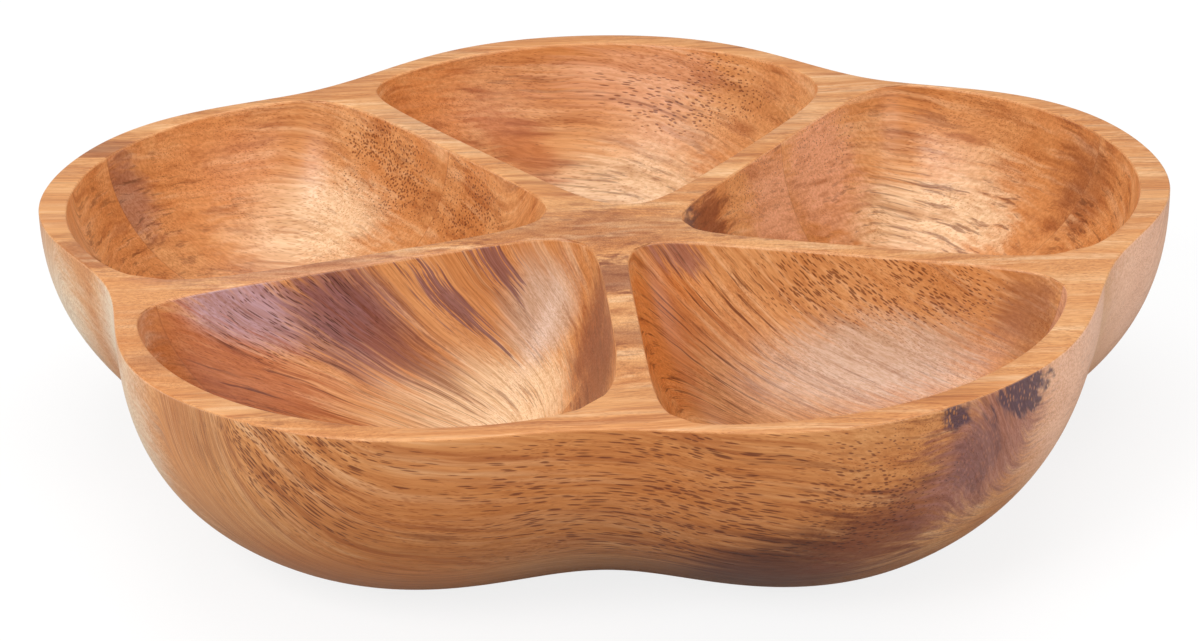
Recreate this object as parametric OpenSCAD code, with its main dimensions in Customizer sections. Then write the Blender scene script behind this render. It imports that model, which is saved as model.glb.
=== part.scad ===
// Divided serving bowl, carved from a glued-up wooden blank.
// A five-lobed flower in plan, with one compartment in each lobe and five ribs that meet at a hub.
// Three boards lie side by side with their grain along X, and are glued edge to edge before carving.
// The origin is the middle of the foot, on the surface that the bowl stands on. The front is -Y.

/* [Bowl] */
// Mean radius of the outline at the rim
rim_r = 145; // [110:1:180]
// Mean radius of the flat foot
foot_r = 88; // [65:1:105]
// Height from the foot to the flat rim
height = 62; // [40:1:90]
// Thickness of the floor under the deepest point of a compartment
floor_t = 10; // [5:0.5:20]

/* [Ribs and rim] */
// Width of the rim land outside each compartment
wall_t = 8; // [5:0.5:14]
// Width of the ribs between compartments
rib_w = 6.6; // [4:0.2:14]
// Height of the upright lip round each compartment, before its side starts to curve in
lip_h = 0.8; // [0.2:0.1:3]

/* [Boards] */
// Width of the middle board, which puts the two glue joints at equal distances from the middle
board_w = 106; // [60:1:150]

/* [Hidden] */

// The lobes run anticlockwise from the right one: right, back, left, front left, front right.
// Each table below holds one share for each lobe, or for the notch or rib that follows it.
lobe_count = 5;
lobe_step = 360 / lobe_count;
first_lobe = 18;

// Reach of each lobe and notch, as shares of the mean radius: hand carving leaves no two alike.
rim_lobe_shares = [1.10, 1.02, 1.06, 1.04, 1.04];
rim_notch_shares = [0.91, 0.91, 0.91, 0.925, 0.96];
rim_full_share = 0.63;
foot_lobe_shares = [1.27, 1.11, 0.96, 1.10, 1.18];
foot_notch_shares = [0.87, 0.87, 0.87, 0.78, 0.93];
foot_full_share = 0.22;

// Powers of the curve that the outer wall follows from the upright rim to the flat foot.
wall_drop_power = 2.4;
wall_lean_power = 1.76;

// Direction of each rib, and how far its middle line passes from the hub, as shares of the mean radius.
rib_turns = [58.4, 125.9, 200.6, 273.6, 344.8];
rib_shift_shares = [-0.095, -0.014, 0.026, 0.021, -0.059];

// Middle of each compartment, and radius of its outer arc, as shares of the mean radius.
cell_place_share = 0.58;
cell_arc_shares = [0.54, 0.545, 0.54, 0.54, 0.61];

// Powers that set how tight a compartment's corners are at the edge, at the hub end and at the floor.
corner_power = 9.8;
tip_power = 5.5;
floor_power = 3.2;

// Powers of the curve that a compartment follows from its edge down to its floor.
cell_side_power = 2.5;
cell_floor_power = 1.75;

// Facets round the outline, down the wall, round a compartment and down its side.
outline_steps = 120;
wall_steps = 9;
cell_steps = 48;
cell_rings = 8;

// Every cut passes its face by this much.
overrun = rib_w;

// Radius at angle a of a flower whose lobes and notches each have their own reach.
// It runs by a cosine from each notch to the next lobe, made fuller on the way by the share given.
function flower(a, lobes, notches, full) =
    let (
        turn = (a - first_lobe) / lobe_step,
        lobe = floor(turn + 1 / 2),
        side = turn - lobe,
        rise = (1 + cos(360 * side)) / 2,
        reach = lobes[(lobe + lobe_count) % lobe_count],
        gap = notches[(lobe + lobe_count - (side < 0 ? 1 : 0)) % lobe_count]
    )
    gap + (reach - gap) * (rise + full * rise * (1 - rise));

function rim_at(a) = rim_r * flower(a, rim_lobe_shares, rim_notch_shares, rim_full_share);
function foot_at(a) = foot_r * flower(a, foot_lobe_shares, foot_notch_shares, foot_full_share);

// A point of the outer wall at angle a: q runs from 0 at the rim to 90 at the foot.
function wall_point(a, q) =
    let (
        drop = pow(sin(q), 2 / wall_drop_power),
        lean = pow(cos(q), 2 / wall_lean_power),
        r = foot_at(a) + (rim_at(a) - foot_at(a)) * lean
    )
    [r * cos(a), r * sin(a), height * (1 - drop)];

// Distance from the middle of compartment i to its edge, in the direction f from the lobe's axis.
// It is the smooth least of the distances to the two ribs and to the outer arc, and the power p
// sets how tightly the three meet.
function cell_reach(i, f, p) =
    let (
        axis = first_lobe + lobe_step * i,
        last = (i + lobe_count - 1) % lobe_count,
        place = cell_place_share * rim_r,
        left_turn = rib_turns[i] - axis,
        right_turn = axis - (rib_turns[last] - (i == 0 ? 360 : 0)),
        left_gap = place * sin(left_turn) + rib_shift_shares[i] * rim_r - rib_w / 2,
        right_gap = place * sin(right_turn) - rib_shift_shares[last] * rim_r - rib_w / 2,
        arc_r = cell_arc_shares[i] * rim_r,
        arc_place = rim_lobe_shares[i] * rim_r - wall_t - arc_r - place,
        along = arc_place * cos(f),
        outer = along + sqrt(along * along + arc_r * arc_r - arc_place * arc_place),
        near_left = max(sin(f - left_turn), 0) / left_gap,
        near_right = max(sin(-f - right_turn), 0) / right_gap
    )
    pow(pow(near_left, p) + pow(near_right, p) + pow(1 / outer, p), -1 / p);

// A point of compartment i's surface: f goes round it, and q runs from 0 at the foot of the lip to 90 at
// the floor. The corners grow softer on the way down.
function cell_point(i, f, q) =
    let (
        axis = first_lobe + lobe_step * i,
        tip = (1 - cos(f)) / 2,
        edge_power = corner_power + (tip_power - corner_power) * tip,
        p = edge_power + (floor_power - edge_power) * sin(q),
        r = cell_reach(i, f, p) * pow(cos(q), 2 / cell_side_power),
        drop = (height - lip_h - floor_t) * pow(sin(q), 2 / cell_floor_power)
    )
    [
        cell_place_share * rim_r * cos(axis) + r * cos(axis + f),
        cell_place_share * rim_r * sin(axis) + r * sin(axis + f),
        height - lip_h - drop
    ];

// Faces between neighbouring rings of n points each. The rings run downwards.
function ring_faces(rings, n) = [
    for (j = [0 : rings - 2]) for (k = [0 : n - 1])
        let (a = j * n + k, b = j * n + (k + 1) % n)
        each [[a, b, b + n], [a, b + n, a + n]]
];

// Faces from the first ring up to the point top, and from the last ring down to the point foot.
function cap_faces(rings, n, top, foot) = [
    for (k = [0 : n - 1])
        let (last = (rings - 1) * n, b = (k + 1) % n)
        each [[b, k, top], [last + k, last + b, foot]]
];

// The whole outside: wall, flat rim and flat foot.
module outside() {
    rings = wall_steps + 1;
    wall = [
        for (j = [0 : wall_steps]) for (k = [0 : outline_steps - 1])
            wall_point(360 * k / outline_steps, 90 * j / wall_steps)
    ];
    centres = [[0, 0, height], [0, 0, 0]];
    top = rings * outline_steps;
    polyhedron(
        concat(wall, centres),
        concat(ring_faces(rings, outline_steps), cap_faces(rings, outline_steps, top, top + 1))
    );
}

// The wood that is carved out of lobe i, carried up past the rim.
module compartment(i) {
    lift = [
        for (k = [0 : cell_steps - 1])
            cell_point(i, 360 * k / cell_steps, 0) + [0, 0, lip_h + overrun]
    ];
    sides = [
        for (j = [0 : cell_rings - 1]) for (k = [0 : cell_steps - 1])
            cell_point(i, 360 * k / cell_steps, 90 * j / cell_rings)
    ];
    rings = cell_rings + 1;
    bottom = cell_point(i, 0, 90);
    centres = [[bottom[0], bottom[1], height + overrun], bottom];
    top = rings * cell_steps;
    polyhedron(
        concat(lift, sides, centres),
        concat(ring_faces(rings, cell_steps), cap_faces(rings, cell_steps, top, top + 1))
    );
}

// The carved bowl between two planes across Y.
module board(from_y, to_y) {
    reach = 2 * rim_r;
    difference() {
        intersection() {
            outside();
            translate([-reach, from_y, -overrun])
                cube([2 * reach, to_y - from_y, height + 2 * overrun]);
        }
        for (i = [0 : lobe_count - 1]) compartment(i);
    }
}

module front_board() {
    color("#c68746") board(-2 * rim_r, -board_w / 2);
}

module middle_board() {
    color("#b9753a") board(-board_w / 2, board_w / 2);
}

module back_board() {
    color("#d29a5c") board(board_w / 2, 2 * rim_r);
}

front_board();
middle_board();
back_board();
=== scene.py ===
import math

import bmesh
import bpy
import numpy as np
from mathutils import Matrix, Vector
from mathutils.geometry import delaunay_2d_cdt


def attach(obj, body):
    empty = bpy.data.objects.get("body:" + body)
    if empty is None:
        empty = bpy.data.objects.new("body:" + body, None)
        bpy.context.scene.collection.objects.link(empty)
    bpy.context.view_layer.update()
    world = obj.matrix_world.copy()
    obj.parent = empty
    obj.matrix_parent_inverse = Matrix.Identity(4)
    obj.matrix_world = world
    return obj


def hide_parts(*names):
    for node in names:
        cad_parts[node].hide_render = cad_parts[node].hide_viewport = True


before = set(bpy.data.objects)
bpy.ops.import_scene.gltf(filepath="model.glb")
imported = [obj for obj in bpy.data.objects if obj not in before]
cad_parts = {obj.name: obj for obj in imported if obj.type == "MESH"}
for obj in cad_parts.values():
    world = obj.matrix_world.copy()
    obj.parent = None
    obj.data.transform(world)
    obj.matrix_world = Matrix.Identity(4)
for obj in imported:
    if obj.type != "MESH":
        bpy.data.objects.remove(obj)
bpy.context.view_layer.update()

# Sizes of the bowl, in metres. They are the part's own, from the same formulas.
RIM_R = 0.145
FOOT_R = 0.088
HEIGHT = 0.062
FLOOR_T = 0.010
WALL_T = 0.008
RIB_W = 0.0066
LIP_H = 0.0008
JOINT_Y = 0.053

# The lobes run anticlockwise from the right one: right, back, left, front left, front right.
LOBE_COUNT = 5
LOBE_STEP = 360 / LOBE_COUNT
FIRST_LOBE = 18
RIM_LOBES = np.array([1.10, 1.02, 1.06, 1.04, 1.04])
RIM_NOTCHES = np.array([0.91, 0.91, 0.91, 0.925, 0.96])
RIM_FULL = 0.63
FOOT_LOBES = np.array([1.27, 1.11, 0.96, 1.10, 1.18])
FOOT_NOTCHES = np.array([0.87, 0.87, 0.87, 0.78, 0.93])
FOOT_FULL = 0.22
WALL_DROP = 2.4
WALL_LEAN = 1.76
RIB_TURNS = np.array([58.4, 125.9, 200.6, 273.6, 344.8])
RIB_SHIFTS = np.array([-0.095, -0.014, 0.026, 0.021, -0.059])
CELL_PLACE = 0.58 * RIM_R
CELL_ARCS = np.array([0.54, 0.545, 0.54, 0.54, 0.61])
CORNER_POWER = 9.8
TIP_POWER = 5.5
FLOOR_POWER = 3.2
CELL_SIDE = 2.5
CELL_FLOOR = 1.75

# How finely the surfaces are laid out, and how far their sharp edges are eased. The wall's rings crowd
# towards the rim by a power. The smooth outer wall stands back by a hair, which keeps the bowl inside the
# box of the part's own faceted one. It still passes the middles of most facets, by under half a millimetre.
OUTLINE_STEPS = 600
WALL_RINGS = 64
CELL_STEPS = 320
CELL_RINGS = 46
EASE_STEPS = 4
RIM_EASE = 0.0006
CELL_EASE = 0.0007
WALL_CROWDING = 1.15
WALL_BACK = 0.00006

# How near counts as on the cut and as the same point, in metres, and the least angle of a sharp edge.
ON_CUT = 1e-7
SAME_POINT = 1e-9
SHARP_FROM = math.radians(40)


def sin(a):
    """Sine of degrees."""
    return np.sin(np.radians(a))


def cos(a):
    """Cosine of degrees."""
    return np.cos(np.radians(a))


def flower(a, lobes, notches, full):
    """Reach at angle a: from each notch to the next lobe by a cosine c, made fuller by full c (1 - c)."""
    turn = (a - FIRST_LOBE) / LOBE_STEP
    lobe = np.floor(turn + 0.5)
    side = turn - lobe
    rise = (1 + np.cos(2 * np.pi * side)) / 2
    reach = lobes[lobe.astype(int) % LOBE_COUNT]
    gap = notches[(lobe.astype(int) - (side < 0)) % LOBE_COUNT]
    return gap + (reach - gap) * (rise + full * rise * (1 - rise))


def wall_points(a, q):
    """Outer wall at angle a: radius is foot + (rim - foot) cos(q)^(2/lean), and height is
    H (1 - sin(q)^(2/drop))."""
    rim = RIM_R * flower(a, RIM_LOBES, RIM_NOTCHES, RIM_FULL) - WALL_BACK
    foot = FOOT_R * flower(a, FOOT_LOBES, FOOT_NOTCHES, FOOT_FULL)
    r = foot + (rim - foot) * np.clip(cos(q), 0, 1) ** (2 / WALL_LEAN)
    z = HEIGHT * (1 - np.clip(sin(q), 0, 1) ** (2 / WALL_DROP))
    return np.stack([r * cos(a), r * sin(a), z + 0 * r], -1)


def cell_reach(i, f, p):
    """Distance from compartment i's middle to its edge in direction f: the smooth least, by the power p,
    of the distances to its two ribs and to its outer arc."""
    last = (i - 1) % LOBE_COUNT
    axis = FIRST_LOBE + LOBE_STEP * i
    left = RIB_TURNS[i] - axis
    right = axis - (RIB_TURNS[last] - (360 if i == 0 else 0))
    left_gap = CELL_PLACE * sin(left) + RIB_SHIFTS[i] * RIM_R - RIB_W / 2
    right_gap = CELL_PLACE * sin(right) - RIB_SHIFTS[last] * RIM_R - RIB_W / 2
    arc = CELL_ARCS[i] * RIM_R
    arc_place = RIM_LOBES[i] * RIM_R - WALL_T - arc - CELL_PLACE
    along = arc_place * cos(f)
    outer = along + np.sqrt(along ** 2 + arc ** 2 - arc_place ** 2)
    near_left = np.maximum(sin(f - left), 0) / left_gap
    near_right = np.maximum(sin(-f - right), 0) / right_gap
    return (near_left ** p + near_right ** p + (1 / outer) ** p) ** (-1 / p)


def edge_power(f):
    """Corner power at the edge: it eases from the outer corners to the hub end."""
    return CORNER_POWER + (TIP_POWER - CORNER_POWER) * (1 - cos(f)) / 2


def cell_points(i, f, q):
    """Compartment i at turn f: radius is reach cos(q)^(2/side), depth is D sin(q)^(2/floor), and the corner
    power falls to the floor's as sin(q)."""
    axis = FIRST_LOBE + LOBE_STEP * i
    p = edge_power(f) + (FLOOR_POWER - edge_power(f)) * sin(q)
    r = cell_reach(i, f, p) * np.clip(cos(q), 0, 1) ** (2 / CELL_SIDE)
    drop = (HEIGHT - LIP_H - FLOOR_T) * np.clip(sin(q), 0, 1) ** (2 / CELL_FLOOR)
    x = CELL_PLACE * cos(axis) + r * cos(axis + f)
    y = CELL_PLACE * sin(axis) + r * sin(axis + f)
    return np.stack([x, y, HEIGHT - LIP_H - drop + 0 * r], -1)


def outward(ring):
    """Level unit normals of a closed anticlockwise ring, from the chord between each point's neighbours."""
    chord = np.roll(ring[:, :2], -1, 0) - np.roll(ring[:, :2], 1, 0)
    normal = np.stack([chord[:, 1], -chord[:, 0], np.zeros(len(ring))], -1)
    return normal / np.linalg.norm(normal, axis=1)[:, None]


def eased(ring, ease, side):
    """Rings of a quarter circle of radius ease, from the flat land down to the ring's upright edge. The land
    lies outside the ring where side is 1, and inside it where side is -1."""
    turn = np.linspace(0, 90, EASE_STEPS + 1)[:, None, None]
    normal = outward(ring)[None]
    level = ring[None] * [1, 1, 0] + side * ease * (1 - sin(turn)) * normal
    return level + [0, 0, HEIGHT - ease] + ease * cos(turn) * np.array([0, 0, 1])


def joined(rings, first):
    """Quads between neighbouring rings, as indices from first on."""
    count, n = rings.shape[:2]
    a = first + np.arange(count - 1)[:, None] * n + np.arange(n)[None]
    b = first + np.arange(count - 1)[:, None] * n + (np.arange(n)[None] + 1) % n
    return np.stack([a, b, b + n, a + n], -1).reshape(-1, 4)


def closed(ring_start, n, tip):
    """Triangles from a ring to one point."""
    k = np.arange(n)
    return np.stack([ring_start + k, ring_start + (k + 1) % n, np.full(n, tip)], -1)


def in_compartment(points):
    """Whether each point of the rim's plane lies over a compartment or its eased edge."""
    inside = np.zeros(len(points), bool)
    for i in range(LOBE_COUNT):
        axis = FIRST_LOBE + LOBE_STEP * i
        dx = points[:, 0] - CELL_PLACE * cos(axis)
        dy = points[:, 1] - CELL_PLACE * sin(axis)
        f = (np.degrees(np.arctan2(dy, dx)) - axis + 180) % 360 - 180
        inside |= np.hypot(dx, dy) < cell_reach(i, f, edge_power(f))
    return inside


def outer_rings():
    """Rings of the outer wall, from its eased edge at the rim down to the foot."""
    a = np.linspace(0, 360, OUTLINE_STEPS, endpoint=False)
    q = 90 * np.linspace(0, 1, WALL_RINGS + 1)[1:, None] ** WALL_CROWDING
    rim = wall_points(a, np.zeros_like(a))
    return np.concatenate([eased(rim, RIM_EASE, -1), wall_points(a[None], q)])


def inner_rings(i):
    """Rings of compartment i, from its eased edge down to the last ring round the middle of its floor."""
    f = np.linspace(0, 360, CELL_STEPS, endpoint=False)
    q = 90 * np.linspace(0, 1, CELL_RINGS + 1)[:-1, None]
    side = cell_points(i, f[None], q)
    return np.concatenate([eased(side[0], CELL_EASE, 1), side])


def land_faces(points, loops):
    """Triangles of the flat land between its edge loops, each given as a first index and a count. A
    Delaunay triangulation fills the outline, and each triangle whose middle lies over a compartment is left
    out. A few slivers between the loop and the compartment's own edge stay."""
    ids = np.concatenate([start + np.arange(n) for start, n in loops])
    starts = np.cumsum([0] + [n for _, n in loops])
    edges = [(s + k, s + (k + 1) % n) for s, (_, n) in zip(starts, loops) for k in range(n)]
    flat = [Vector(p) for p in points[ids, :2]]
    _, _, faces, sources, _, _ = delaunay_2d_cdt(flat, edges, [], 1, SAME_POINT)
    source = np.array([s[0] for s in sources])
    faces = ids[source[np.array(faces)]]
    return faces[~in_compartment(points[faces].mean(1))]


def bowl_surface():
    """The whole carved bowl as one mesh: the outer wall's rings down to the middle of the foot, each
    compartment's rings down to the middle of its floor, and the flat land between their eased edges."""
    sides = [(outer_rings(), np.zeros((1, 3)), -1)]
    for i in range(LOBE_COUNT):
        sides.append((inner_rings(i), cell_points(i, np.zeros(1), np.full(1, 90.0)), 1))
    points, quads, triangles, loops = [], [], [], []
    total = 0
    for rings, tip, way in sides:
        n = rings.shape[1]
        last = total + (len(rings) - 1) * n
        quads.append(joined(rings, total)[:, ::way])
        triangles.append(closed(last, n, last + n)[:, ::way])
        loops.append((total, n))
        points += [rings.reshape(-1, 3), tip]
        total = last + n + 1
    points = np.concatenate(points)
    triangles.append(land_faces(points, loops))
    return points, np.concatenate(quads), np.concatenate(triangles)


def make_bowl():
    """The whole bowl's surface with its faces outwards, before it is cut into boards."""
    points, quads, triangles = bowl_surface()
    mesh = bpy.data.meshes.new("carved_bowl")
    mesh.from_pydata(points.tolist(), [], quads.tolist() + triangles.tolist())
    shape = bmesh.new()
    shape.from_mesh(mesh)
    bpy.data.meshes.remove(mesh)
    bmesh.ops.recalc_face_normals(shape, faces=shape.faces)
    return shape


def make_board(bowl, node, cuts):
    """The part of the bowl on the inner side of each cut, a height along Y and the way out of the board,
    with the joint faces closed."""
    shape = bowl.copy()
    for y, way in cuts:
        everything = shape.verts[:] + shape.edges[:] + shape.faces[:]
        bmesh.ops.bisect_plane(
            shape, geom=everything, dist=ON_CUT, plane_co=(0, y, 0), plane_no=(0, way, 0), clear_outer=True
        )
        rim = [e for e in shape.edges if e.is_boundary]
        new = bmesh.ops.holes_fill(shape, edges=rim, sides=0)["faces"]
        bmesh.ops.triangulate(shape, faces=new, ngon_method="EAR_CLIP")
    bmesh.ops.recalc_face_normals(shape, faces=shape.faces)
    mesh = bpy.data.meshes.new(node)
    shape.to_mesh(mesh)
    shape.free()
    mesh.shade_smooth()
    mesh.set_sharp_from_angle(angle=SHARP_FROM)
    piece = bpy.data.objects.new("carved_" + node, mesh)
    bpy.context.scene.collection.objects.link(piece)
    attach(piece, "root")
    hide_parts(node)
    return piece


BOARD_CUTS = {
    "front_board": [(-JOINT_Y, 1)],
    "middle_board": [(-JOINT_Y, -1), (JOINT_Y, 1)],
    "back_board": [(JOINT_Y, -1)],
}
bowl = make_bowl()
boards = {node: make_board(bowl, node, cuts) for node, cuts in BOARD_CUTS.items()}
bowl.free()


class Graph:
    """Adds nodes to one material and joins them."""

    def __init__(self, name):
        self.material = bpy.data.materials.new(name)
        self.material.use_nodes = True
        self.tree = self.material.node_tree
        self.tree.nodes.clear()

    def add(self, kind, inputs, **settings):
        """A new node, with each input linked to a socket or set to a value."""
        node = self.tree.nodes.new(kind)
        for name, value in settings.items():
            setattr(node, name, value)
        for name, value in inputs.items():
            if isinstance(value, bpy.types.NodeSocket):
                self.tree.links.new(value, node.inputs[name])
            else:
                node.inputs[name].default_value = value
        return node

    def math(self, operation, *values):
        """One sum, product or other function of the values."""
        return self.add("ShaderNodeMath", dict(enumerate(values)), operation=operation).outputs[0]

    def vector(self, x, y, z):
        """One vector from its three parts."""
        return self.add("ShaderNodeCombineXYZ", {"X": x, "Y": y, "Z": z}).outputs[0]

    def noise(self, at, detail=2.0, roughness=0.5, output=0):
        """Smooth noise at a scaled place: its value, or three of them as output 1."""
        made = self.add(
            "ShaderNodeTexNoise", {"Vector": at, "Scale": 1.0, "Detail": detail, "Roughness": roughness}
        )
        return made.outputs[output]

    def cells(self, at):
        """The distance to the nearest of many scattered points."""
        made = self.add("ShaderNodeTexVoronoi", {"Vector": at, "Scale": 1.0}, feature="F1")
        return made.outputs["Distance"]

    def ramp(self, value, low, high, to_low=0.0, to_high=1.0):
        """A smooth step from to_low to to_high as value goes from low to high."""
        inputs = {0: value, 1: low, 2: high, 3: to_low, 4: to_high}
        return self.add("ShaderNodeMapRange", inputs, interpolation_type="SMOOTHSTEP").outputs[0]

    def mix(self, share, first, second, blend="MIX", label=""):
        """The first colour, with this share of the second laid over it or multiplied in."""
        inputs = {0: share, 6: first, 7: second}
        made = self.add("ShaderNodeMix", inputs, data_type="RGBA", blend_type=blend, label=label)
        return made.outputs[2]

    def blend(self, share, first, second):
        """The first shader, with this share of the second."""
        return self.add("ShaderNodeMixShader", {0: share, 1: first, 2: second}).outputs[0]


def colour(r, g, b):
    """A colour written in the screen's 0 to 255, as the linear values that the shader takes."""
    values = np.array([r, g, b]) / 255
    linear = np.where(values <= 0.04045, values / 12.92, ((values + 0.055) / 1.055) ** 2.4)
    return tuple(float(v) for v in linear) + (1.0,)


# The colours: the wood's pale sapwood first, then its warm browns, and last its purple and dark heart. BONE
# and
# ROSE are only laid as painted sheen, on the outer wall and in the right compartment; BLUSH is painted sheen
# on the right of the outer wall and wood colour at the back; MILK is a painted highlight and painted sheen
# in the front compartments and pale wood on a floor.
BONE = colour(254, 238, 212)
CREAM = colour(252, 220, 180)
BLUSH = colour(252, 200, 168)
MILK = colour(226, 196, 172)
STRAW = colour(230, 170, 112)
HONEY = colour(216, 147, 86)
ROSE = colour(242, 186, 150)
AMBER = colour(220, 136, 64)
OCHRE = colour(202, 124, 62)
COPPER = colour(196, 114, 54)
RUSSET = colour(150, 82, 46)
UMBER = colour(100, 48, 28)
LILAC = colour(192, 164, 184)
MAUVE = colour(176, 118, 104)
PLUM = colour(144, 98, 102)
SOOT = colour(82, 56, 72)

# What the fine grain takes from whatever wood it crosses: its share of the light, from faint to deep.
FAINT = (0.74, 0.60, 0.44, 1)
SHADE = (0.62, 0.44, 0.30, 1)
DEEP = (0.36, 0.24, 0.19, 1)

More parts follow.
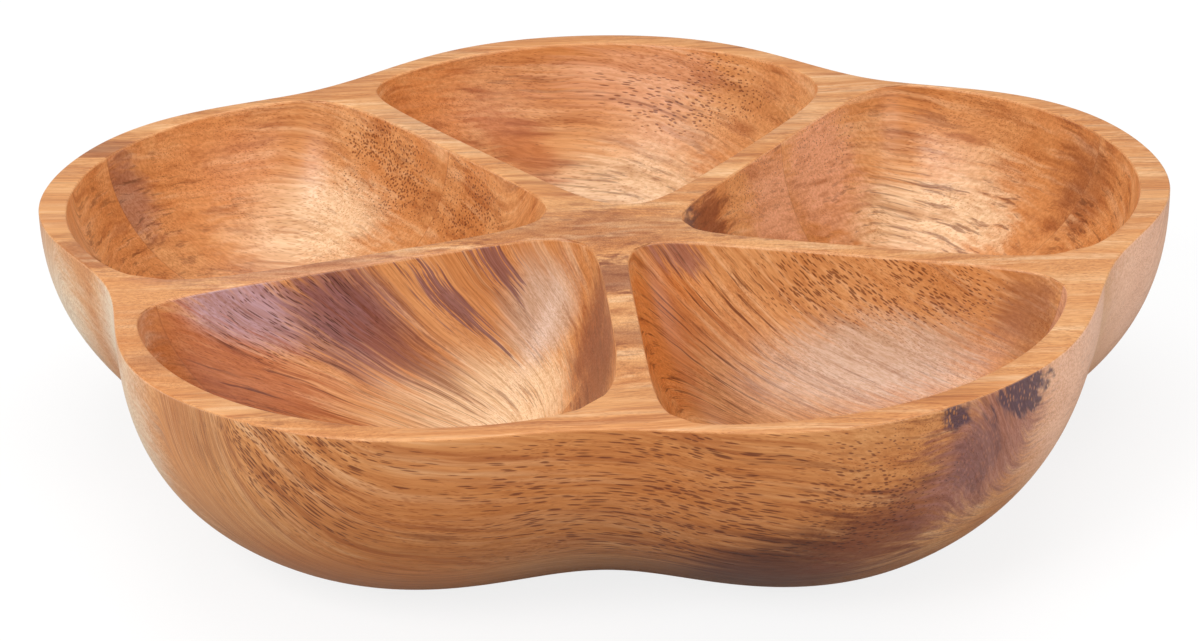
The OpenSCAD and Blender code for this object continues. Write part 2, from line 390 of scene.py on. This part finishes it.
# Each board's tints: a name, a colour, the middle and half sizes of the tinted wood in millimetres, its tilt
# about Y in degrees, how strong the tint is, and how far the fibres fray its edge. A tint whose middle is as
# high as the rim lies only on the flat land, and any other lies only on the carved sides. Most tints are the
# wood's own colour; some are painted sheen, a painted highlight or painted shade, as their comments say.
TINTS = {
    "front_board": [
        ("front_wall_ochre", OCHRE, (0, -142, 30), (130, 26, 40), 0, 0.8, 0.5),
        ("left_side_copper", COPPER, (-106, -60, 43), (30, 18, 34), 0, 0.8, 0.6),
        ("floor_left_cream_and_painted_sheen", CREAM, (-36, -66, 12), (44, 34, 16), 0, 0.8, 0.8),
        ("floor_right_milk", MILK, (70, -66, 14), (44, 34, 22), 0, 0.9, 0.8),
        ("hub_side_russet", RUSSET, (2, -66, 44), (15, 26, 28), 0, 0.95, 0.6),
        # A painted sheen: near white on the left of the outer wall, where it mirrors the white floor at a
        # glancing angle.
        ("left_wall_painted_sheen", BONE, (-122, -90, 30), (18, 32, 40), 0, 0.8, 0.5),
        ("left_wall_brown", RUSSET, (-98, -116, 56), (18, 16, 12), 20, 0.3, 1.4),
        # Painted shade: the front wall darker towards the foot.
        ("low_wall_painted_shade", RUSSET, (30, -116, 4), (84, 30, 24), 0, 0.6, 0.5),
        # Painted shade: the foot of the front wall darker still on the right.
        ("foot_right_painted_shade", UMBER, (40, -126, 15), (48, 24, 18), -25, 0.8, 0.8),
        ("front_right_dark_band", RUSSET, (74, -124, 34), (34, 16, 13), -38, 0.75, 0.8),
        # A painted sheen: pale pink on the right of the outer wall, where it mirrors the white floor at a
        # glancing angle.
        ("right_wall_painted_sheen", BLUSH, (124, -80, 44), (30, 50, 44), -20, 0.9, 0.4),
        ("knot_mauve", MAUVE, (94, -116, 46), (26, 20, 20), -40, 0.85, 0.9),
        # A painted sheen: near white in the notch on the left of the outer wall.
        ("left_notch_painted_sheen", BONE, (-126, -54, 40), (14, 26, 40), 0, 0.9, 0.4),
        ("low_wall_amber", AMBER, (-60, -118, 16), (42, 26, 16), 0, 0.8, 0.6),
        ("front_right_russet", RUSSET, (112, -62, 46), (12, 24, 22), 0, 0.6, 0.8),
        ("rim_ochre", OCHRE, (-112, -70, 62), (44, 44, 8), 0, 0.35, 1.0),
        ("rib_brown", RUSSET, (10, -79, 62), (24, 8, 8), 0, 0.45, 1.2),
        ("rim_brown", RUSSET, (-100, -88, 62), (26, 7, 9), 0, 0.4, 1.0),
    ],
    "middle_board": [
        ("floor_right_cream_and_painted_sheen", CREAM, (96, 34, 16), (34, 50, 16), 0, 0.7, 0.8),
        # Pale wood with a painted sheen where the front right compartment's floor turns up into its back
        # wall.
        ("front_right_milk_and_painted_sheen", MILK, (70, -38, 36), (42, 12, 14), 0, 0.9, 0.7),
        # Pale wood with a painted sheen where the front left compartment's floor turns up into its back
        # wall.
        ("front_left_cream_and_painted_sheen", CREAM, (-22, -34, 24), (40, 22, 15), 0, 1.0, 0.9),
        # A painted highlight: a milky patch where the front left compartment's back wall turns into its
        # right wall.
        ("front_left_painted_highlight", MILK, (-14, -21, 44), (12, 10, 20), 0, 0.9, 0.5),
        ("left_side_amber", AMBER, (-134, 28, 40), (22, 30, 40), 25, 0.35, 0.8),
        # Purple heartwood, made paler by a painted sheen at the front left compartment's upper left.
        ("lilac_heart_and_painted_sheen", LILAC, (-91, -43, 55), (25, 12, 12), 25, 0.85, 0.8),
        ("plum_heart", PLUM, (-64, -33, 49), (24, 12, 14), 40, 0.95, 0.9),
        ("plum_russet", RUSSET, (-50, -33, 38), (22, 10, 7), 35, 0.6, 1.6),
        ("plum_tail", PLUM, (-38, -25, 48), (18, 9, 4), 50, 0.85, 2.4),
        ("plum_tip", PLUM, (-26, -19, 57), (10, 7, 4), 50, 0.8, 2.4),
        ("front_left_copper", COPPER, (-93, -46, 38), (38, 12, 13), 25, 0.9, 1.2),
        ("left_corner_copper", COPPER, (-112, -52, 50), (13, 9, 16), 0, 0.8, 0.6),
        ("hub_side_russet", RUSSET, (1, -44, 44), (10, 18, 28), 0, 0.95, 0.6),
        ("front_right_amber", AMBER, (14, -30, 38), (17, 24, 28), 0, 0.85, 0.9),
        ("front_right_plum", PLUM, (22, -18, 58), (12, 5, 5), 30, 0.6, 1.4),
        ("front_right_russet", RUSSET, (112, -46, 50), (12, 12, 16), 0, 0.6, 0.8),
        ("right_tip_russet", RUSSET, (30, 13, 51), (22, 13, 18), 0, 0.9, 1.2),
        ("right_tip_soot", SOOT, (22, 5, 57), (10, 7, 7), 0, 0.75, 1.2),
        # A painted sheen: pale pink over the orange wood on the right compartment's left wall.
        ("right_side_painted_sheen", ROSE, (57, 44, 47), (21, 20, 24), 20, 0.9, 0.8),
        ("right_side_brown", RUSSET, (136, 52, 49), (15, 16, 18), -30, 0.55, 0.9),
        ("right_wall_amber", AMBER, (140, 20, 40), (20, 30, 30), 0, 0.3, 0.8),
        # A painted sheen: pale pink on the right of the outer wall, where it mirrors the white floor at a
        # glancing angle.
        ("right_wall_painted_sheen", BLUSH, (148, -24, 44), (24, 40, 44), 0, 0.9, 0.4),
        # A painted sheen: near white on the left of the outer wall, where it mirrors the white floor at a
        # glancing angle.
        ("left_wall_painted_sheen", BONE, (-146, -10, 26), (16, 50, 36), 0, 0.95, 0.4),
        # A painted sheen: near white in the notch on the left of the outer wall.
        ("left_notch_painted_sheen", BONE, (-126, -54, 40), (14, 26, 40), 0, 0.9, 0.4),
        ("rim_ochre", OCHRE, (-112, -70, 62), (44, 44, 8), 0, 0.35, 1.0),
        ("rib_mauve", MAUVE, (-70, -32, 62), (52, 14, 8), 0, 0.4, 1.0),
        ("hub_brown", RUSSET, (0, -8, 62), (50, 16, 8), 0, 0.35, 1.6),
        ("front_rib_brown", RUSSET, (6, -42, 62), (30, 14, 8), 0, 0.75, 1.2),
        ("left_rim_brown", RUSSET, (-140, -20, 62), (22, 14, 10), 0, 0.5, 1.3),
    ],
    "back_board": [
        # Pale wood with a painted sheen where the left compartment's floor turns up into its back wall.
        ("floor_left_cream_and_painted_sheen", CREAM, (-76, 80, 30), (36, 20, 16), 0, 0.9, 0.8),
        # Pale wood with a painted sheen where the back compartment's floor turns up into its back wall.
        ("floor_back_cream_and_painted_sheen", CREAM, (8, 118, 20), (36, 26, 16), 0, 0.9, 0.7),
        # Pale wood with a painted sheen where the right compartment's floor turns up into its back wall.
        ("floor_right_cream_and_painted_sheen", CREAM, (98, 78, 28), (34, 20, 14), 0, 0.9, 0.8),
        ("left_heart", PLUM, (-130, 57, 48), (14, 10, 20), 40, 0.5, 0.9),
        ("left_amber", AMBER, (-108, 78, 46), (26, 22, 24), 25, 0.4, 0.8),
        ("back_side_amber", AMBER, (-48, 112, 46), (18, 26, 26), 20, 0.7, 0.8),
        ("back_upper_copper", COPPER, (-32, 132, 52), (18, 18, 16), 30, 0.25, 0.7),
        ("back_copper", COPPER, (-22, 128, 35), (20, 14, 8), 40, 0.75, 1.0),
        ("back_blush", BLUSH, (16, 137, 52), (34, 14, 12), 0, 0.45, 0.8),
        ("back_right_straw", STRAW, (52, 112, 42), (16, 26, 26), 0, 0.6, 0.8),
        # A painted sheen: pale pink over the orange wood on the right compartment's left wall.
        ("right_side_painted_sheen", ROSE, (64, 68, 48), (24, 20, 22), 20, 0.95, 0.8),
        ("right_side_brown", RUSSET, (136, 52, 49), (15, 16, 18), -30, 0.55, 0.9),
        ("left_rim_brown", RUSSET, (-134, 60, 62), (18, 10, 7), 0, 0.5, 1.3),
        ("back_ribs_cream", CREAM, (0, 74, 62), (84, 18, 8), 0, 0.35, 0.8),
    ],
}

# Where the cut leaves the pores wide open: the middle and half sizes in millimetres, and how open they are.
PORES = {
    "front_board": [
        ((-72, -126, 50), (42, 26, 20), 1.0),
        ((20, -130, 42), (70, 24, 26), 0.9),
    ],
    "middle_board": [
        ((72, -33, 54), (46, 14, 12), 1.0),
        ((-76, -38, 50), (36, 14, 14), 0.9),
        ((54, 34, 55), (26, 24, 12), 0.6),
        ((-44, 40, 50), (24, 24, 16), 0.9),
    ],
    "back_board": [
        ((-58, 74, 48), (24, 26, 16), 1.0),
        ((28, 130, 50), (36, 20, 14), 0.8),
        ((66, 72, 54), (24, 24, 12), 0.6),
    ],
}

# Where the figure lines are strongest, in the same way.
LINES = {
    "front_board": [
        ((-90, -66, 40), (44, 20, 30), 0.9),
        ((-40, -64, 12), (40, 30, 12), 0.8),
        ((28, -70, 34), (22, 30, 30), 0.9),
    ],
    "middle_board": [
        ((-84, -45, 38), (44, 16, 16), 0.9),
        ((-30, -36, 20), (34, 20, 10), 0.6),
        ((26, -30, 40), (26, 20, 28), 1.0),
        ((-130, 28, 36), (26, 30, 30), 0.7),
        ((96, 36, 16), (40, 40, 14), 0.8),
        ((136, 30, 42), (18, 34, 24), 0.7),
    ],
    "back_board": [
        ((100, 74, 30), (40, 20, 16), 0.8),
        ((-124, 60, 46), (24, 14, 24), 0.6),
        ((0, 112, 18), (44, 24, 14), 0.7),
    ],
}

# The knot's dark net on the front right wall: its blots' middles and half sizes in millimetres, and how
# dark each is.
KNOT = [
    ((102, -109, 58), (12, 12, 7), 0.9),
    ((85, -122, 59), (4, 8, 5), 0.9),
    ((90, -118, 46), (9, 10, 12), 0.4),
]

# How the fibres dip to the right, as a rise of the growth layers along X: gently at the back, steeply near
# the middle of the front, and only at the left on the front wall. In the front compartments the layers
# level out on the way down: height counts once at FULL_DIP above LEVEL_Z, and ever more towards LEVEL_Z,
# though never as if nearer than LEAST_ABOVE. There the fibres also lean along X by a share of the height.
BACK_DIP = 0.15
FRONT_DIP, FRONT_MIDDLE, FRONT_REACH = 0.153, -0.015, 0.085
WALL_DIP, WALL_MIDDLE, WALL_REACH = 0.020, -0.085, 0.022
FULL_DIP = 0.056
LEVEL_Z = 0.006
LEAST_ABOVE = 0.001
FRONT_LEAN = -0.5

# Where one kind of wood gives way to another, in metres from and to: by height from the land to the carved
# sides, by Y from the back's dip to the front's and then to the front wall's, and the two smooth steps,
# out along X and forward along Y, to the clear wood at the front's two ends, which loses this share of its
# dark lines.
CARVED_STEP = (HEIGHT - 0.0001, HEIGHT - 0.0005)
FRONT_STEP = (0.030, -0.010)
WALL_STEP = (-0.104, -0.124)
END_STEP = (0.090, 0.118)
END_FRONT_STEP = (0.0, -0.020)
CLEARED = 0.8

# How far the fibres wander across the layers and within them, in slow waves and in ripples, how many waves
# and ripples there are a metre along X, Y and Z, and how many features each metre of a board's own shift
# moves its noises.
WAVE_V = 0.010
WAVE_W = 0.016
RIPPLE = 0.0022
WAVES = (13, 17, 17)
RIPPLES = (45, 120, 120)
PART_SHIFT = 9

# The grain's noises: features a metre along the fibres, across the layers and within them, then detail and
# roughness. Sheets are given by features along the fibres, across their thin way and across their broad way.
BANDS = (5, 80, 16, 2.0)
LAYERS = (8, 260, 30, 5.0, 0.62)
STREAKS = (14, 300, 90, 4.0, 0.62)
FRAYS = (40, 900, 260, 2.0)
FIGURE = (24, 700, 150, 3.0, 0.6)
FIGURE_CROWD = (9, 50, 50, 1.0)
PORE_CROWD = (20, 90, 90, 2.0)
HAIRS = (60, 1300, 1300, 2.0, 0.6)
BLOTS = (120, 300, 300, 2.0)
NET = (1100, 1100, 520)
LONG_PORES = (110, 1300)
FINE_PORES = (320, 2300)

# The smooth steps that turn those noises into shares: where each begins and ends, and its share there.
BAND_STEP = (0.35, 0.65)
PALE_LAYER_STEP = (0.50, 0.68, 0.0, 0.35)
DARK_LAYER_STEP = (0.52, 0.34, 0.0, 0.50)
DARK_STREAK_STEP = (0.50, 0.68, 0.0, 0.65)
FIGURE_STEP = (0.54, 0.66)
FIGURE_CROWD_STEP = (0.45, 0.62, 0.05, 0.45)
PORE_CROWD_STEP = (0.30, 0.58, 0.35, 1.0)
FINE_PORE_STEP = (0.65, 0.35, 0.10, 0.32)
HAIR_STEP = (0.35, 0.65, 0.0, 0.60)
NET_STEP = (0.12, 0.46, 0.2, 1.0)
GLOSS_STEP = (0.3, 0.7, 0.32, 0.42)
JOINT_STEP = (0.00022, 0.00006, 0.0, 0.4)

# A pore's half width where the wood is closed and what open wood adds, how open the wood is outside the
# places above, and how soft and how dark its long and fine pores are.
PORE_LEAST, PORE_MORE, PORE_EVERYWHERE = 0.02, 0.38, 0.15
LONG_SOFT, LONG_DARK = 0.09, 0.90
FINE_SOFT, FINE_DARK = 0.12, 0.70

# The edges of a tint, of a knot's blot and of a place for pores or lines, in half sizes, and how far the
# fibres fray the first two.
TINT_EDGE, TINT_SOFT, TINT_FRAY = 0.8, 0.4, 2.4
BLOT_STEP, BLOT_FRAY = (1.1, 0.6), 1.6
PLACE_STEP = (1.3, 0.6)

# The oiled surface: how deep its pores and hairs are felt, and its index of refraction.
BUMP, BUMP_DEPTH, HAIR_HEIGHT = 0.3, 0.00015, 0.4
OIL_IOR = 1.45


class Grain:
    """The board's own coordinates: u along the fibres, v across the growth layers, w within a layer."""

    def __init__(self, g, shift):
        self.g, self.shift = g, shift
        self.at = g.add("ShaderNodeTexCoord", {}).outputs["Object"]
        x, y, z = g.add("ShaderNodeSeparateXYZ", {"Vector": self.at}).outputs
        self.y = y
        self.carved = g.ramp(z, *CARVED_STEP)
        at_end = g.math("MULTIPLY", g.ramp(g.math("ABSOLUTE", x), *END_STEP), g.ramp(y, *END_FRONT_STEP))
        self.clear = g.math("MULTIPLY_ADD", at_end, -CLEARED, 1.0)
        front = g.ramp(y, *FRONT_STEP)
        wave = self.drift(WAVES)
        ripple = self.drift(RIPPLES)
        across = g.math("MULTIPLY_ADD", wave[0], WAVE_V, g.math("MULTIPLY", ripple[0], RIPPLE))
        lift = g.math("MULTIPLY_ADD", wave[1], WAVE_W, g.math("MULTIPLY", ripple[1], RIPPLE))
        self.u = g.math("MULTIPLY_ADD", g.math("MULTIPLY", z, front), FRONT_LEAN, x)
        self.v = g.math("ADD", y, across)
        self.w = g.math("ADD", self.raised(x, y, z, front), lift)

    def raised(self, x, y, z, front):
        """The height with the dip added: z + gentle x at the back, D ln((z - level) / D) + steep tanh(x) at
        the front, and z + gentle x + wall tanh(x) on the front wall."""
        g = self.g
        gentle = g.math("MULTIPLY", x, BACK_DIP)
        steep = g.math("MULTIPLY", self.bend(x, FRONT_MIDDLE, FRONT_REACH), FRONT_DIP)
        wall = g.math("MULTIPLY_ADD", self.bend(x, WALL_MIDDLE, WALL_REACH), WALL_DIP, gentle)
        above = g.math("MAXIMUM", g.math("SUBTRACT", z, LEVEL_Z), LEAST_ABOVE)
        level = g.math("LOGARITHM", g.math("DIVIDE", above, FULL_DIP), math.e)
        level = g.math("MULTIPLY", level, FULL_DIP)
        inner = self.between(front, g.math("ADD", z, gentle), g.math("ADD", level, steep))
        return self.between(g.ramp(y, *WALL_STEP), inner, g.math("ADD", z, wall))

    def drift(self, scale):
        """Slow wandering of the fibres: three noises of the place."""
        shift = (self.shift, 2 * self.shift, 3 * self.shift)
        moved = self.g.add("ShaderNodeVectorMath", {0: self.at, 1: shift}, operation="ADD").outputs[0]
        scaled = self.g.add("ShaderNodeVectorMath", {0: moved, 1: scale}, operation="MULTIPLY").outputs[0]
        return self.g.add("ShaderNodeSeparateXYZ", {"Vector": self.g.noise(scaled, 1, output=1)}).outputs

    def bend(self, x, middle, reach):
        """A rise from -1 to 1 round the middle: tanh((x - middle) / reach)."""
        return self.g.math("TANH", self.g.math("DIVIDE", self.g.math("SUBTRACT", x, middle), reach))

    def between(self, share, first, second):
        """The first value where the share is 0, and the second where it is 1."""
        return self.g.math("MULTIPLY_ADD", share, self.g.math("SUBTRACT", second, first), first)

    def spot(self, along, across, within):
        """The place, scaled to this many features a metre in each direction."""
        u = self.g.math("MULTIPLY", self.u, along)
        v = self.g.math("MULTIPLY_ADD", self.v, across, PART_SHIFT * self.shift)
        return self.g.vector(u, v, self.g.math("MULTIPLY", self.w, within))

    def noise(self, along, across, within, detail=2.0, roughness=0.5):
        """Smooth noise with this many features a metre in each of the board's directions."""
        return self.g.noise(self.spot(along, across, within), detail, roughness)

    def sheets(self, along, thin, broad, detail=2.0, roughness=0.5):
        """Noise in thin layers. They stand across Y on the flat land, and follow the dip on the sides."""
        across = self.between(self.carved, thin, broad)
        within = self.between(self.carved, broad, thin)
        return self.g.noise(self.spot(along, across, within), detail, roughness)

    def pores(self, along, across, reach, soft):
        """Short dashes along the fibres: 1 in the middle of each, with their half width given by reach."""
        spot = self.spot(along, across, across)
        return self.g.ramp(self.g.math("SUBTRACT", reach, self.g.cells(spot)), -soft, soft)


def reach_from(g, at, middle, half, tilt=0):
    """The distance from a place in millimetres, in half sizes, and tilted about Y."""
    place = g.add(
        "ShaderNodeMapping",
        {
            "Vector": at,
            "Location": tuple(v / 1000 for v in middle),
            "Rotation": (0, math.radians(tilt), 0),
            "Scale": tuple(v / 1000 for v in half),
        },
        vector_type="TEXTURE",
    )
    return g.add("ShaderNodeVectorMath", {0: place.outputs[0]}, operation="LENGTH").outputs["Value"]


def tinted(g, grain, base, fray_by, tints):
    """Lays each tint over the base. It fades from its middle to its frayed edge, which is sharper the more
    it frays."""
    land = g.math("SUBTRACT", 1.0, grain.carved)
    for name, paint, middle, half, tilt, strength, fray in tints:
        away = reach_from(g, grain.at, middle, half, tilt)
        away = g.math("ADD", away, TINT_FRAY / 2 * fray)
        frayed = g.math("MULTIPLY_ADD", fray_by, -TINT_FRAY * fray, away)
        soft = TINT_SOFT / max(fray, 1)
        share = g.ramp(frayed, TINT_EDGE + soft, TINT_EDGE - soft, 0.0, strength)
        there = land if middle[2] == 1000 * HEIGHT else grain.carved
        base = g.mix(g.math("MULTIPLY", share, there), base, paint, label=name)
    return base


def placed(g, grain, places, least):
    """How strong a feature is: the least value given, or more in the places listed."""
    share = least
    for middle, half, most in places:
        patch = g.ramp(reach_from(g, grain.at, middle, half), *PLACE_STEP, 0.0, most)
        share = g.math("MAXIMUM", share, g.math("MULTIPLY", patch, grain.carved))
    return share


def knotted(g, grain, base):
    """A dark net with small pale islands, strongest in the middle of each blot."""
    place = g.add("ShaderNodeVectorMath", {0: grain.at, 1: NET}, operation="MULTIPLY").outputs[0]
    net = g.math("MULTIPLY", g.ramp(g.cells(place), *NET_STEP), grain.carved)
    rough = grain.noise(*BLOTS)
    for middle, half, strength in KNOT:
        away = g.math("ADD", reach_from(g, grain.at, middle, half), BLOT_FRAY / 2)
        blot = g.ramp(g.math("MULTIPLY_ADD", rough, -BLOT_FRAY, away), *BLOT_STEP, 0.0, strength)
        base = g.mix(g.math("MULTIPLY", blot, net), base, SOOT)
    return base


def figured(g, grain, base, lines):
    """Dark figure lines, which come and go along the fibres."""
    thin = g.ramp(grain.sheets(*FIGURE), *FIGURE_STEP)
    where = placed(g, grain, lines, g.ramp(grain.noise(*FIGURE_CROWD), *FIGURE_CROWD_STEP))
    where = g.math("MULTIPLY", where, grain.clear)
    return g.mix(g.math("MULTIPLY", thin, where), base, DEEP, "MULTIPLY")


def pored(g, grain, base, pores):
    """Fine specks and long soft dashes over the base, and the dashes' share for the bump."""
    crowd = grain.noise(*PORE_CROWD)
    wide = placed(g, grain, pores, PORE_EVERYWHERE)
    wide = g.math("MULTIPLY", wide, g.ramp(crowd, *PORE_CROWD_STEP))
    long = grain.pores(*LONG_PORES, g.math("MULTIPLY_ADD", wide, PORE_MORE, PORE_LEAST), LONG_SOFT)
    fine = grain.pores(*FINE_PORES, g.ramp(crowd, *FINE_PORE_STEP), FINE_SOFT)
    base = g.mix(g.math("MULTIPLY", fine, FINE_DARK), base, SHADE, "MULTIPLY")
    base = g.mix(g.math("MULTIPLY", long, LONG_DARK), base, DEEP, "MULTIPLY")
    return base, long


def grained(g, grain, tints):
    """Pale bands and growth layers, the tints over them, some of which are painted sheen, a painted
    highlight and painted shade, and then their dark layers and streaks.
    """
    layers = grain.sheets(*LAYERS)
    streaks = grain.sheets(*STREAKS)
    base = g.mix(g.ramp(grain.noise(*BANDS), *BAND_STEP), HONEY, STRAW)
    base = g.mix(g.ramp(layers, *PALE_LAYER_STEP), base, CREAM)
    fray_by = g.math("MULTIPLY_ADD", grain.sheets(*FRAYS), 0.5, g.math("MULTIPLY", streaks, 0.5))
    base = tinted(g, grain, base, fray_by, tints)
    dark_layers = g.math("MULTIPLY", g.ramp(layers, *DARK_LAYER_STEP), grain.clear)
    dark_streaks = g.math("MULTIPLY", g.ramp(streaks, *DARK_STREAK_STEP), grain.clear)
    base = g.mix(dark_layers, base, FAINT, "MULTIPLY")
    return g.mix(dark_streaks, base, SHADE, "MULTIPLY")


def wood(name, tints, pores, lines, shift, knot):
    """Carved and oiled wood with its fibres along X: grain, a knot, figure lines, pores, and the dark line
    of the glue joint."""
    g = Graph(name)
    grain = Grain(g, shift)
    base = grained(g, grain, tints)
    if knot:
        base = knotted(g, grain, base)
    base = figured(g, grain, base, lines)
    base, long = pored(g, grain, base, pores)
    hairs = grain.noise(*HAIRS)
    base = g.mix(g.ramp(hairs, *HAIR_STEP), base, FAINT, "MULTIPLY")
    joint = g.math("ABSOLUTE", g.math("SUBTRACT", g.math("ABSOLUTE", grain.y), JOINT_Y))
    base = g.mix(g.ramp(joint, *JOINT_STEP), base, RUSSET)

    height = g.math("MULTIPLY_ADD", long, -1.0, g.math("MULTIPLY", hairs, HAIR_HEIGHT))
    bump = g.add("ShaderNodeBump", {"Strength": BUMP, "Distance": BUMP_DEPTH, "Height": height})
    inputs = {"Base Color": base, "Roughness": g.ramp(hairs, *GLOSS_STEP), "IOR": OIL_IOR}
    shader = g.add("ShaderNodeBsdfPrincipled", {**inputs, "Normal": bump.outputs[0]})
    g.add("ShaderNodeOutputMaterial", {"Surface": shader.outputs[0]})
    return g.material


# How far apart in the noise the boards' wood is taken, in metres.
SHIFTS = {"front_board": 1.7, "middle_board": 0.4, "back_board": 3.1}
for node, piece in boards.items():
    name = node.replace("board", "wood")
    made = wood(name, TINTS[node], PORES[node], LINES[node], SHIFTS[node], node == "front_board")
    piece.data.materials.append(made)


# The camera stands in front and looks down along +Y. Its place and lens come from the fit to the photo, and
# it sees from NEAREST on, in metres.
CAMERA_PLACE = (0.0008, -0.9526, 0.4432)
CAMERA_DOWN = math.radians(23.35)
CAMERA_ROLL = math.radians(1.27)
LENS_MM = 115.7
SENSOR_MM = 36
NEAREST = 0.01


def make_camera():
    """A camera at the fitted place, looking down along +Y and rolled a little."""
    data = bpy.data.cameras.new("camera")
    data.lens = LENS_MM
    data.sensor_width = SENSOR_MM
    data.sensor_fit = "HORIZONTAL"
    data.clip_start = NEAREST
    camera = bpy.data.objects.new("camera", data)
    ahead = Vector((0, math.cos(CAMERA_DOWN), -math.sin(CAMERA_DOWN)))
    level = Vector((1, 0, 0))
    above = level.cross(ahead)
    right = level * math.cos(CAMERA_ROLL) - above * math.sin(CAMERA_ROLL)
    up = above * math.cos(CAMERA_ROLL) + level * math.sin(CAMERA_ROLL)
    turn = Matrix((right, up, -ahead)).transposed().to_4x4()
    camera.matrix_world = Matrix.Translation(CAMERA_PLACE) @ turn
    bpy.context.scene.collection.objects.link(camera)
    bpy.context.scene.camera = camera


# The lamps: a name, the direction from the bowl as a turn about Z from +X and a lift above the floor in
# degrees, the distance and the panel's sides in metres, and the power in watts. The two cards stand low at
# the sides, where they reach little but the outer wall.
LAMPS = [
    ("front_left_panel", -128, 38, 1.3, (0.6, 0.6), 8.5),
    ("front_right_panel", -46, 16, 1.3, (1.0, 0.8), 6.5),
    ("top_panel", 80, 75, 1.3, (1.3, 1.0), 10),
    ("left_card", 180, 4.5, 1.3, (1.2, 0.2), 4.5),
    ("right_card", 0, 4.5, 1.3, (1.2, 0.2), 2),
]

# How bright the room is to the bowl, how white the floor is where it only lights the bowl and where the
# bowl mirrors it, how much of the floor that the camera sees is plain white, and half the floor's side.
ROOM_LIGHT = 0.38
FLOOR_BOUNCE = 0.28
FLOOR_GLOSS = 0.5
FLOOR_GLOW = 0.82
FLOOR_HALF = 6.0
WHITE = (1, 1, 1, 1)


def make_lamp(name, turn, lift, away, size, power):
    """A rectangular panel that faces the bowl."""
    data = bpy.data.lights.new(name, "AREA")
    data.shape = "RECTANGLE"
    data.size, data.size_y = size
    data.energy = power
    lamp = bpy.data.objects.new(name, data)
    way = Vector((cos(lift) * cos(turn), cos(lift) * sin(turn), sin(lift)))
    lamp.location = away * way
    lamp.rotation_euler = way.to_track_quat("Z", "Y").to_euler()
    bpy.context.scene.collection.objects.link(lamp)


def make_world():
    """A pale room: white where the camera sees it, and dimmer where it only lights the bowl."""
    world = bpy.data.worlds.new("studio")
    bpy.context.scene.world = world
    world.use_nodes = True
    tree = world.node_tree
    tree.nodes.clear()
    path = tree.nodes.new("ShaderNodeLightPath")
    room = tree.nodes.new("ShaderNodeBackground")
    room.inputs["Color"].default_value = WHITE
    room.inputs["Strength"].default_value = ROOM_LIGHT
    white = tree.nodes.new("ShaderNodeBackground")
    white.inputs["Color"].default_value = WHITE
    mix = tree.nodes.new("ShaderNodeMixShader")
    out = tree.nodes.new("ShaderNodeOutputWorld")
    tree.links.new(path.outputs["Is Camera Ray"], mix.inputs[0])
    tree.links.new(room.outputs[0], mix.inputs[1])
    tree.links.new(white.outputs[0], mix.inputs[2])
    tree.links.new(mix.outputs[0], out.inputs[0])


def make_floor():
    """White paper with the bowl's soft shadow. Only a dim paper throws light back up at the bowl."""
    mesh = bpy.data.meshes.new("floor")
    s = FLOOR_HALF
    mesh.from_pydata([(-s, -s, 0), (s, -s, 0), (s, s, 0), (-s, s, 0)], [], [(0, 1, 2, 3)])
    floor = bpy.data.objects.new("floor", mesh)
    bpy.context.scene.collection.objects.link(floor)
    g = Graph("floor_paper")
    path = g.add("ShaderNodeLightPath", {}).outputs
    dim = g.add("ShaderNodeBsdfDiffuse", {"Color": (*[FLOOR_BOUNCE] * 3, 1)}).outputs[0]
    pale = g.add("ShaderNodeBsdfDiffuse", {"Color": (*[FLOOR_GLOSS] * 3, 1)}).outputs[0]
    glow = g.add("ShaderNodeEmission", {"Color": WHITE, "Strength": 1.0}).outputs[0]
    white = g.add("ShaderNodeBsdfDiffuse", {"Color": WHITE}).outputs[0]
    shown = g.blend(FLOOR_GLOW, white, glow)
    mirrored = g.blend(path["Is Glossy Ray"], dim, pale)
    both = g.blend(path["Is Camera Ray"], mirrored, shown)
    g.add("ShaderNodeOutputMaterial", {"Surface": both})
    mesh.materials.append(g.material)


make_camera()
make_world()
make_floor()
for name, turn, lift, away, size, power in LAMPS:
    make_lamp(name, turn, lift, away, size, power)
bpy.context.scene.view_settings.view_transform = "Standard"
